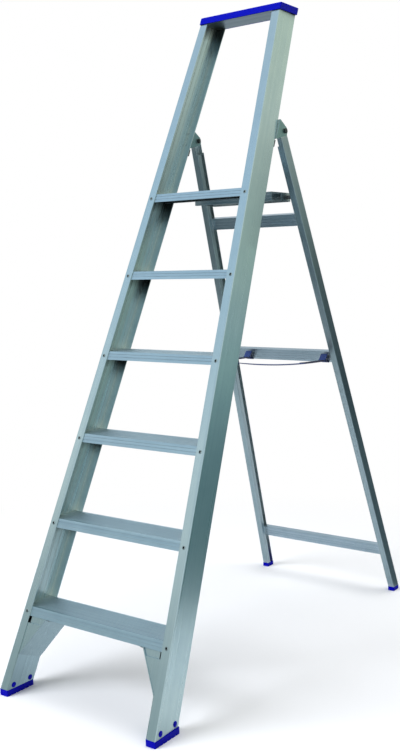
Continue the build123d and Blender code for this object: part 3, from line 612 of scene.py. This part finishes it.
@dataclass
class FastenerGroup:
    """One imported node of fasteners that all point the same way, and where each stands."""

    node: str
    outward: Vector
    body: str = FRONT
    reach: float = 10.5 * MM  # vertices closer than this are of one fastener

    def places(self) -> list[Matrix]:
        """Find each fastener in the node's mesh.

        Returns:
            For each, axes with Z along its outward end and the origin at the end of its head.
        """
        spots: list[tuple[Vector, list[Vector]]] = []
        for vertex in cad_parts[self.node].data.vertices:
            flat = vertex.co - self.outward * vertex.co.dot(self.outward)
            for seed, points in spots:
                if (flat - seed).length < self.reach:
                    points.append(vertex.co.copy())
                    break
            else:
                spots.append((flat, [vertex.co.copy()]))
        turn = self.outward.to_track_quat("Z", "Y").to_matrix().to_4x4()
        return [Matrix.Translation(self.middle(points)) @ turn for _, points in spots]

    def middle(self, points: list[Vector]) -> Vector:
        """Find one fastener's centre and move it along the axis to the end of its head.

        Args:
            points: The fastener's vertices.

        Returns:
            The moved centre.
        """
        low, high = (Vector([end(values) for values in zip(*points)]) for end in (min, max))
        centre = (low + high) / 2
        top = max(point.dot(self.outward) for point in points)
        return centre + self.outward * (top - centre.dot(self.outward))


@dataclass
class BlindRivets:
    """Blind rivets: a low domed head with the broken end of its mandrel sunk in the middle."""

    head_radius: float = 5.0 * MM
    head_rise: float = 2.4 * MM
    hole_radius: float = 2.9 * MM
    shank_radius: float = 2.4 * MM
    grip: float = 5.0 * MM
    dome_degrees: tuple[float, ...] = (14, 28, 42, 54)  # how far up the dome its rings stand
    well_mm: tuple[Pair, ...] = ((0.3, -0.25), (0.0, -0.5), (0.0, -2.0))  # rings: out from the hole's wall, and up
    mandrel_mm: tuple[Pair, ...] = ((0.98, -1.9), (0.9, -1.2), (0.5, -0.95))  # rings: share of the hole, and up
    facets: int = 24

    def head(self) -> Profile:
        """Set out the head from its shank up over the dome and into the hole.

        Returns:
            Radius and height of each ring.
        """
        rim, rise = self.head_radius, self.head_rise
        shank = [(self.shank_radius, -rise - self.grip), (self.shank_radius, -rise), (rim, -rise)]
        angles = [math.radians(degrees) for degrees in self.dome_degrees]
        dome = [(rim * math.cos(angle), -rise + rise * math.sin(angle)) for angle in angles]
        well = [(self.hole_radius + out * MM, height * MM) for out, height in self.well_mm]
        return shank + dome + well

    def mandrel(self) -> Profile:
        """Radius and height of each ring of the mandrel's broken end."""
        return [(self.hole_radius * share, height * MM) for share, height in self.mandrel_mm]

    def build(self) -> None:
        """Replace every packed rivet group by domed rivets."""
        back = LAYOUT.back()
        groups = [
            *(FastenerGroup(f"{side}_step_rivets", -back) for side in SIDES),
            *(FastenerGroup(f"{side}_step_rear_rivets", back) for side in SIDES),
            FastenerGroup("hinge_bracket_rivets", back),
            FastenerGroup("foot_brace_rivets", Vector((0, 0, -1))),
            FastenerGroup("strap_rivets", back),
            FastenerGroup("rear_bar_rivets", LAYOUT.leg_back(), REAR),
        ]
        for group in groups:
            mesh = bmesh.new()
            for place in group.places():
                revolve(mesh, self.head(), place, self.facets)
                revolve(mesh, self.mandrel(), place, self.facets, finish=1)
            piece = finished(f"{group.node}_domed", mesh, [RIVET, MANDREL], group.body)
            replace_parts(piece, group.node)


@dataclass
class FrontFrame:
    """Stiles, treads, top rail, cap, feet, foot braces and the straps' anchor plates."""

    steps: int = 6
    pin_radius: float = 8.0 * MM
    pin_shank: float = 4.0 * MM
    pin_rise: float = 2.5 * MM
    pin_degrees: tuple[float, ...] = (75, 55, 35, 15, 0)
    pin_facets: int = 28
    pin_apart: float = 24.0 * MM  # vertices closer than this are of one pin
    panel_start: float = 24.0 * MM  # where a packed brace's panel ends, from its outer face
    panel_reach: float = 5.5 * MM  # how much closer to the stile the dressed panel ends
    same_point: float = 0.01 * MM
    same_end: float = 0.1 * MM
    inner_turn: float = 0.5  # cosine over which a brace's face counts as turned inward

    def dress(self) -> None:
        """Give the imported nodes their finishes, and replace the pins and the braces."""
        dress(TREAD, *(f"step_{step + 1}" for step in range(self.steps)))
        dress(RAIL, "top_rail")
        dress(CAP, "top_cap")
        dress(BOLT_STEEL, "strap_anchors")
        for side in SIDES:
            dress(STILE[side], f"{side}_stile")
            dress(FOOT, f"{side}_foot")
            self.pins(side)
            self.brace(side)

    def brace(self, side: str) -> None:
        """Replace a foot brace by one whose set-back panel ends closer to the stile's flange.

        Args:
            side: The side of the ladder.
        """
        node, inward = f"{side}_foot_brace", LAYOUT.stile_in(side)
        mesh = bmesh.new()
        mesh.from_mesh(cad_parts[node].data)
        bmesh.ops.remove_doubles(mesh, verts=mesh.verts, dist=self.same_point)
        start = min(vertex.co.dot(inward) for vertex in mesh.verts) + self.panel_start
        for vertex in mesh.verts:
            if abs(vertex.co.dot(inward) - start) < self.same_end:
                vertex.co -= inward * self.panel_reach
        mesh.normal_update()
        for face in mesh.faces:
            face.smooth = False
            # Faces turned inward take the darker copy of the sheet: painted shade.
            face.material_index = int(face.normal.dot(inward) > self.inner_turn)
        finishes = [BRACE[side], BRACE_SHADED_FACE[side]]
        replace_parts(finished(f"{node}_panelled", mesh, finishes, FRONT), node)

    def pins(self, side: str) -> None:
        """Replace a foot's pins by ones with rounded heads at both ends.

        Args:
            side: The side of the ladder.
        """
        inward = LAYOUT.stile_in(side)
        group = FastenerGroup(f"{side}_foot_pins", -inward, reach=self.pin_apart)
        depths = [vertex.co.dot(inward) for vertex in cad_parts[group.node].data.vertices]
        profile = self.pin_profile(max(depths) - min(depths))
        mesh = bmesh.new()
        for place in group.places():
            revolve(mesh, profile, place, self.pin_facets)
        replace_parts(finished(f"{side}_foot_pins_rounded", mesh, [FOOT], FRONT), group.node)

    def pin_profile(self, long: float) -> Profile:
        """Set out a pin from one rounded head to the other.

        Args:
            long: The pin's whole length.

        Returns:
            Radius and height of each ring.
        """
        angles = [math.radians(degrees) for degrees in self.pin_degrees]
        top = [(self.pin_radius * math.cos(angle), self.pin_rise * (math.sin(angle) - 1)) for angle in angles]
        shank = [(self.pin_shank, -self.pin_rise), (self.pin_shank, self.pin_rise - long)]
        bottom = [(radius, -long - height) for radius, height in reversed(top)]
        return top + shank + bottom


@dataclass
class Hinges:
    """Brackets, bolts, bushes and pads that join the two frames."""

    steel: tuple[str, ...] = ("left_hinge_bolt", "right_hinge_bolt", "hinge_nuts")
    nylon: tuple[str, ...] = ("left_hinge_bush", "right_hinge_bush", "hinge_washers")
    rubber: tuple[str, ...] = ("hinge_pads",)

    def dress(self) -> None:
        """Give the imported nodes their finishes."""
        for side in SIDES:
            dress(CHEEK[side], f"{side}_hinge_bracket")
        dress(BOLT_STEEL, *self.steel)
        dress(NYLON, *self.nylon)
        dress(RUBBER, *self.rubber)


@dataclass
class RearFrame:
    """Rear legs, bars, feet and the platform slat between the legs."""

    bars: tuple[str, ...] = ("upper_rear_bar", "middle_rear_bar", "lower_rear_bar")
    slat: tuple[str, ...] = ("platform_slat", "left_slat_plate", "right_slat_plate")
    steel: tuple[str, ...] = ("slat_bolts", "slat_nuts")
    nylon: tuple[str, ...] = ("slat_spacers",)

    def dress(self) -> None:
        """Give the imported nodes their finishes."""
        for side in SIDES:
            dress(LEG[side], f"{side}_rear_leg")
            dress(FOOT, f"{side}_rear_foot")
        dress(BAR, *self.bars)
        dress(SLAT, *self.slat)
        dress(BOLT_STEEL, *self.steel)
        dress(NYLON, *self.nylon)


@dataclass
class StayStrap:
    """One webbing stay: a tab on a tread's rear lip, a slack run and a loop through the middle bar's slot."""

    node: str
    width: float = 25.0 * MM
    thick: float = 1.6 * MM
    edge: float = 0.7 * MM
    flank: float = 0.35
    tab: float = 20.0 * MM
    tab_steps: int = 4
    lip_gap: float = 0.15 * MM
    lip_lift: float = 0.8 * MM
    sag: float = 11.5 * MM
    roll: float = math.radians(14)
    run_steps: int = 32
    bar_height: float = 0.875  # of the bar's centre over the floor
    bar_half: float = 19.25 * MM
    bar_front: float = -0.85 * MM  # to the rear from the bar's centre
    bar_rear: float = 15.85 * MM  # likewise
    ease: float = 0.5 * MM  # between the loop and the bar
    corner: float = 2.6 * MM
    corner_steps: int = 4
    nose: float = 27.0 * MM  # from the bar's front to the loop's seam
    lift: float = 5.6 * MM  # of the seam over the bar's low edge
    legs_apart: float = 0.55  # half of it, in thicknesses of the tape
    slot: float = 10.0 * MM  # below the bar's top
    sewn: float = 140.0 * MM  # length of the loop's tail that is stitched to the run

    def bar_centre(self) -> Vector:
        """Find the middle of the bar's section.

        Returns:
            The point, in the ladder's middle plane.
        """
        axis, pivot = LAYOUT.leg_axis(), Vector(LAYOUT.pivot)
        middle = pivot + axis * ((self.bar_height - pivot.z) / axis.z)
        return Vector((0, middle.y, middle.z))

    def seam(self) -> Vector:
        """Find where the two legs of the loop are sewn together, ahead of the bar's low front edge.

        Returns:
            The point, in the ladder's middle plane.
        """
        edge = self.bar_centre() + LAYOUT.leg_back() * self.bar_front - LAYOUT.leg_up() * self.bar_half
        return edge + Vector((0, -self.nose, self.lift))

    def loop_line(self) -> list[Vector]:
        """Set out the loop from the seam under the bar, up behind it and out through its slot.

        Returns:
            Points of its middle line.
        """
        centre, rear, up = self.bar_centre(), LAYOUT.leg_back(), LAYOUT.leg_up()
        out = self.ease + self.thick / 2
        low_x, high_x = self.bar_front - out, self.bar_rear + out
        low_y, high_y = -self.bar_half - out, self.bar_half - self.slot
        apart = up * self.thick * self.legs_apart
        line = [self.seam() - apart]
        # Each corner: where its two sides meet, and the start and the sweep of its arc in degrees.
        corners = ((low_x, low_y, 225, 48), (high_x, low_y, 270, 90),
                   (high_x, high_y, 0, 90), (low_x, high_y, 90, 48))
        for x, y, start, sweep in corners:
            middle_x = x + (self.corner if x == low_x else -self.corner)
            middle_y = y + (self.corner if y == low_y else -self.corner)
            for step in range(self.corner_steps + 1):
                angle = math.radians(start + sweep * step / self.corner_steps)
                line.append(centre + rear * (middle_x + self.corner * math.cos(angle))
                            + up * (middle_y + self.corner * math.sin(angle)))
        return line + [line[-1].lerp(self.seam() + apart, share) for share in (0.25, 0.5, 0.75, 1.0)]

    def ends(self) -> tuple[Vector, Vector]:
        """Find the run's ends: under the tread's lip, and at the loop's seam.

        Returns:
            The front end and the rear end.
        """
        low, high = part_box("step_4")
        wall = Vector((0, high[1] - (high[2] - low[2]) * math.tan(LAYOUT.lean), low[2]))
        front = wall + LAYOUT.back() * (self.lip_gap + self.thick / 2) + LAYOUT.up() * self.lip_lift
        return front, self.seam()

    def run_line(self) -> list[Vector]:
        """Set out the run, which hangs a little between its two ends.

        Returns:
            Points of its middle line.
        """
        front, back = self.ends()
        shares = [step / self.run_steps for step in range(self.run_steps + 1)]
        return [front.lerp(back, share) - Vector((0, 0, 4 * self.sag * share * (1 - share))) for share in shares]

    def sewn_line(self) -> list[Vector]:
        """Set out the loop's tail, which lies on the run's rear end and is stitched to it.

        Returns:
            Points of its middle line.
        """
        seam = self.seam()
        near = [point for point in self.run_line() if (point - seam).length < self.sewn]
        return [point + Vector((0, 0, self.thick)) for point in near]

    def tab_line(self) -> list[Vector]:
        """Set out the tab, down the tread's rear lip to the front end of the run.

        Returns:
            Points of its middle line.
        """
        front, _ = self.ends()
        shares = [1 - step / self.tab_steps for step in range(self.tab_steps + 1)]
        return [front + LAYOUT.up() * (self.tab * share) for share in shares]

    def section(self) -> Profile:
        """Set out the tape's section, with thinner edges.

        Returns:
            Places across and through the tape, in order round it.
        """
        half, deep = self.width / 2, self.thick / 2
        upper = [(-half, self.flank * deep), (-half + self.edge, deep), (-half / 3, deep), (half / 3, deep),
                 (half - self.edge, deep), (half, self.flank * deep)]
        return upper + [(across, -through) for across, through in reversed(upper)]

    def tape(self, mesh: Mesh, line: list[Vector], middle: float, roll: float = 0.0, finish: int = 0) -> None:
        """Add a flat tape along a line.

        Args:
            mesh: The mesh that takes the faces.
            line: The tape's middle line.
            middle: Its place across the ladder.
            roll: How far the tape is turned over on its way, mostly nearer its start.
            finish: Index of its finish in the mesh's list.
        """
        section = self.section()
        layer = mesh.loops.layers.uv.get("tape") or mesh.loops.layers.uv.new("tape")
        last = len(line) - 1
        rings, lengths, travelled = [], [], 0.0
        for place, point in enumerate(line):
            ahead = (line[min(place + 1, last)] - line[max(place - 1, 0)]).normalized()
            share = place / last
            turn = Matrix.Rotation(roll * math.sin(math.pi * share) * (1 - share) ** 2, 3, ahead)
            across = turn @ Vector((1, 0, 0))
            through = turn @ Vector((1, 0, 0)).cross(ahead)
            travelled += (point - line[place - 1]).length if place else 0.0
            lengths.append(travelled)
            spot = Vector((middle, point.y, point.z))
            rings.append([mesh.verts.new(spot + across * a + through * b) for a, b in section])
        for first in range(last):
            for step in range(len(section)):
                after = (step + 1) % len(section)
                corners = ((first, step), (first, after), (first + 1, after), (first + 1, step))
                face = mesh.faces.new([rings[ring][spot] for ring, spot in corners])
                face.smooth = True
                face.material_index = finish
                for loop, (ring, spot) in zip(face.loops, corners):
                    loop[layer].uv = (section[spot][0], lengths[ring])
        for ring in (rings[0], rings[-1]):
            mesh.faces.new(ring)

    def build(self) -> None:
        """Make the tab, run and loop, and give the run its own mesh."""
        low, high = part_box(self.node)
        middle = (low[0] + high[0]) / 2
        tab = bmesh.new()
        self.tape(tab, self.tab_line(), middle)
        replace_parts(finished(f"{self.node}_tab", tab, [TAPE], FRONT), self.node)
        loop = bmesh.new()
        self.tape(loop, self.loop_line(), middle)
        finished(f"{self.node}_loop", loop, [TAPE], REAR)
        run = bmesh.new()
        self.tape(run, self.run_line(), middle, roll=math.copysign(self.roll, middle))
        self.tape(run, self.sewn_line(), middle, finish=1)
        piece = finished(f"{self.node}_run", run, [TAPE, SEWN_TAPE], FRONT)
        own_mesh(piece)


@dataclass
class Studio:
    """Camera, pale floor, soft lamps and the white surroundings."""

    camera_place: tuple[float, float, float] = (1.7389, -2.4540, 1.1931)
    azimuth: float = math.radians(36.46)
    elevation: float = math.radians(6.59)
    roll: float = math.radians(-1.43)
    focal_pixels: float = 964.9
    image_high: int = 751
    sensor_mm: float = 36.0
    clip_end: float = 200.0
    floor_side: float = 60.0
    floor_near: float = 0.9  # up to here the floor is matt and takes the shadow
    floor_far: float = 2.0  # from here it is plain white to the eye
    sky_strength: float = 0.36

    def camera(self) -> None:
        """Set the camera at the photograph's view."""
        data = bpy.data.cameras.new("photo_view")
        data.sensor_fit = "VERTICAL"
        data.sensor_height = self.sensor_mm
        data.lens = self.focal_pixels / self.image_high * self.sensor_mm
        data.clip_end = self.clip_end
        turn = (Matrix.Rotation(self.azimuth, 4, "Z") @ Matrix.Rotation(math.pi / 2 - self.elevation, 4, "X")
                @ Matrix.Rotation(self.roll, 4, "Z"))
        view = linked("photo_view", data)
        view.matrix_world = Matrix.Translation(self.camera_place) @ turn
        bpy.context.scene.camera = view

    def seen(self, tree: Tree) -> Node:
        """Tell rays from the eye, a reflection or glass, which give one, from rays that only carry light.

        Args:
            tree: The node tree.

        Returns:
            The node that gives one or zero.
        """
        path = add_node(tree, "LightPath").outputs
        shown = add_node(tree, "Math", {0: path["Is Camera Ray"], 1: path["Is Glossy Ray"]}, operation="MAXIMUM")
        return add_node(tree, "Math", {0: shown, 1: path["Is Transmission Ray"]}, operation="MAXIMUM")

    def flat(self, name: str, size: Pair, place: Matrix, material: bpy.types.Material) -> bpy.types.Object:
        """Set up one flat sheet of the studio.

        Args:
            name: The sheet's name.
            size: Its size along its own X and Y axes.
            place: Where its middle and its axes stand.
            material: Its finish.

        Returns:
            The sheet.
        """
        x, y = size[0] / 2, size[1] / 2
        data = bpy.data.meshes.new(name)
        data.from_pydata([(-x, -y, 0), (x, -y, 0), (x, y, 0), (-x, y, 0)], [], [(0, 1, 2, 3)])
        data.materials.append(material)
        piece = linked(name, data)
        piece.matrix_world = place
        return piece

    def floor(self) -> None:
        """Lay a pale floor that takes the ladder's shadow and turns to plain white further off."""
        material = empty_material("matt_white_floor")
        tree = material.node_tree
        coords = add_node(tree, "TexCoord").outputs["Object"]
        away = add_node(tree, "VectorMath", {0: coords}, operation="LENGTH")
        share = add_node(tree, "MapRange", {"Value": away, "From Min": self.floor_near, "From Max": self.floor_far},
                         interpolation_type="SMOOTHSTEP")
        part = add_node(tree, "Math", {0: share, 1: self.seen(tree)}, operation="MULTIPLY")
        matt = add_node(tree, "BsdfDiffuse", {"Color": "#FAFAFA"})
        white = add_node(tree, "Emission", {"Color": WHITE})
        mixed = add_node(tree, "MixShader", {0: part, 1: matt, 2: white})
        add_node(tree, "OutputMaterial", {"Surface": mixed})
        self.flat("floor", (self.floor_side, self.floor_side), Matrix.Identity(4), material)

    def card(self, name: str, foot: Vector, across: Vector, rise: Vector, size: Pair,
             stops: list[tuple[float, str]]) -> None:
        """Set up a card that only reflections see, from its front, with a gradient along it.

        Args:
            name: The card's name.
            foot: The middle of its foot.
            across: The direction of its width.
            rise: The direction from its foot to its top.
            size: Its width and height.
            stops: Distance from the foot in metres and colour of each stop of the gradient.
        """
        high = size[1]
        material = empty_material(name)
        tree = material.node_tree
        coords = add_node(tree, "TexCoord").outputs["Object"]
        along = add_node(tree, "SeparateXYZ", {0: coords}).outputs["Y"]
        share = add_node(tree, "MapRange", {"Value": along, "From Min": -high / 2, "From Max": high / 2})
        ramp = add_node(tree, "ValToRGB", {"Fac": share})
        marks = ramp.color_ramp.elements
        for number, (level, colour) in enumerate(stops):
            # A new ramp has two marks, and the rest are added.
            mark = marks[number] if number < 2 else marks.new(1.0)
            mark.position = level / high
            mark.color = linear(colour)
        glow = add_node(tree, "Emission", {"Color": ramp})
        behind = add_node(tree, "NewGeometry").outputs["Backfacing"]
        mixed = add_node(tree, "MixShader", {0: behind, 1: glow, 2: add_node(tree, "BsdfTransparent")})
        add_node(tree, "OutputMaterial", {"Surface": mixed})
        turn = Matrix((across, rise, across.cross(rise))).transposed().to_4x4()
        piece = self.flat(name, size, Matrix.Translation(foot + rise * high / 2) @ turn, material)
        piece.visible_camera = piece.visible_diffuse = piece.visible_shadow = False

    def cards(self) -> None:
        """Set up the cards that give the bare metal its dark band, its dark legs and its cool front."""
        up, to_left, to_front = Vector((0, 0, 1)), Vector((-1, 0, 0)), Vector((0, -1, 0))
        rear = Vector((0.65, 0.76, 0)).normalized()
        front = Vector((-0.622, -0.783, 0)).normalized()
        left = Vector((-0.585, 0.811, 0)).normalized()
        rear_across, front_across, left_across = (Vector((way.y, -way.x, 0)) for way in (rear, front, left))
        self.card("dark_flag", rear * 0.758 + rear_across * 0.85, rear_across, up, size=(2.3, 3.4), stops=[
            (0.0, "#6E8688"), (0.39, "#6E888A"), (0.55, "#728C8F"), (0.71, "#8DA6A7"), (0.86, "#ABC5BE"),
            (1.02, "#BFCFCE"), (1.33, "#E2ECDB"), (1.72, "#E9E8DA"), (2.11, "#EDEED7"), (3.4, "#F4F3E8")])
        self.card("dark_post", rear * 0.75 - rear_across * 0.1, rear_across, up, size=(0.4, 1.7), stops=[
            (0.0, "#707C80"), (0.5, "#687678"), (0.76, "#525F62"), (0.96, "#616C6E"), (1.2, "#727A76"),
            (1.45, "#ACB4AC"), (1.7, "#DCDCCE")])
        self.card("dark_corner", rear * 0.75 - rear_across * 0.43, rear_across, up, size=(0.26, 1.75), stops=[
            (0.0, WHITE), (0.7, WHITE), (0.95, "#6A7678"), (1.6, "#6A7678"), (1.75, "#A0A8A4")])
        self.card("pale_sheet", Vector((0.1, 0.22, 0)), rear_across, up, size=(0.5, 1.25), stops=[
            (0.0, "#A8B4B4"), (0.6, "#AEBEB4"), (1.25, "#A8B7AC")])
        self.card("dark_floor", Vector((-1.35, -0.3, 0.004)), to_left, to_front, size=(4.2, 3.2), stops=[
            (0.0, WHITE), (0.23, "#F4F5F5"), (0.42, "#BCC0C0"), (0.58, "#566264"), (1.3, "#525E60"),
            (2.2, "#606C6E"), (3.2, "#6E7A7C")])
        self.card("blue_wall", left * 2.6, left_across, up, size=(4.0, 1.9), stops=[
            (0.0, "#3A4448"), (0.85, "#3A4448"), (1.05, "#C8DCEA"), (1.9, WHITE)])
        self.card("cool_screen", front * 4.34, front_across, up, size=(6.0, 9.0), stops=[
            (0.0, "#ACB8B8"), (0.9, "#B6C0C0"), (1.4, "#D0D3D2"), (2.0, "#FDFBF7"), (2.7, WHITE),
            (3.75, "#E3F0FF"), (5.1, "#DBECFF"), (6.3, "#D3E3FC"), (9.0, "#E9EEF5")])

    def surroundings(self) -> None:
        """Make the world white to the eye and in reflections, and a softer sky for the light itself."""
        world = bpy.data.worlds.new("studio")
        bpy.context.scene.world = world
        world.use_nodes = True
        tree = world.node_tree
        tree.nodes.clear()
        sky = add_node(tree, "Background", {"Color": "#F4F8FA", "Strength": self.sky_strength})
        white = add_node(tree, "Background", {"Color": WHITE})
        mixed = add_node(tree, "MixShader", {0: self.seen(tree), 1: sky, 2: white})
        add_node(tree, "OutputWorld", {"Surface": mixed})

    def lamp(self, name: str, place: Vector, aim: Vector, size: float, power: float, colour: str) -> None:
        """Hang one soft lamp.

        Args:
            name: The lamp's name.
            place: Where it hangs.
            aim: The point that it faces.
            size: The side of its square face.
            power: Its power in watts.
            colour: Its sRGB colour.
        """
        data = bpy.data.lights.new(name, "AREA")
        data.shape = "SQUARE"
        data.size = size
        data.energy = power
        data.color = linear(colour)[:3]
        piece = linked(name, data)
        turn = (aim - place).to_track_quat("-Z", "Y").to_matrix().to_4x4()
        piece.matrix_world = Matrix.Translation(place) @ turn
        piece.visible_glossy = False

    def lights(self) -> None:
        """Hang the soft lamps: a front key and a top light."""
        aim = Vector((0, 0, 0.9))
        self.lamp("key_softbox", Vector((-2.6, -4.2, 3.4)), aim, size=3.6, power=300.0, colour="#F2F6FF")
        self.lamp("top_softbox", Vector((0.6, 0.8, 4.6)), aim, size=3.2, power=120.0, colour=WHITE)

    def build(self) -> None:
        """Set up the whole studio."""
        bpy.context.scene.view_settings.view_transform = "Standard"
        self.camera()
        self.floor()
        self.surroundings()
        self.lights()
        self.cards()


def main() -> None:
    """Build the studio, dress the ladder and add its soft and small pieces."""
    logging.basicConfig(level=logging.INFO, format="%(name)s: %(message)s")
    Studio().build()
    for node in ("left_strap", "right_strap"):
        StayStrap(node).build()
    FrontFrame().dress()
    Hinges().dress()
    RearFrame().dress()
    BlindRivets().build()


if __name__ == "__main__":
    main()
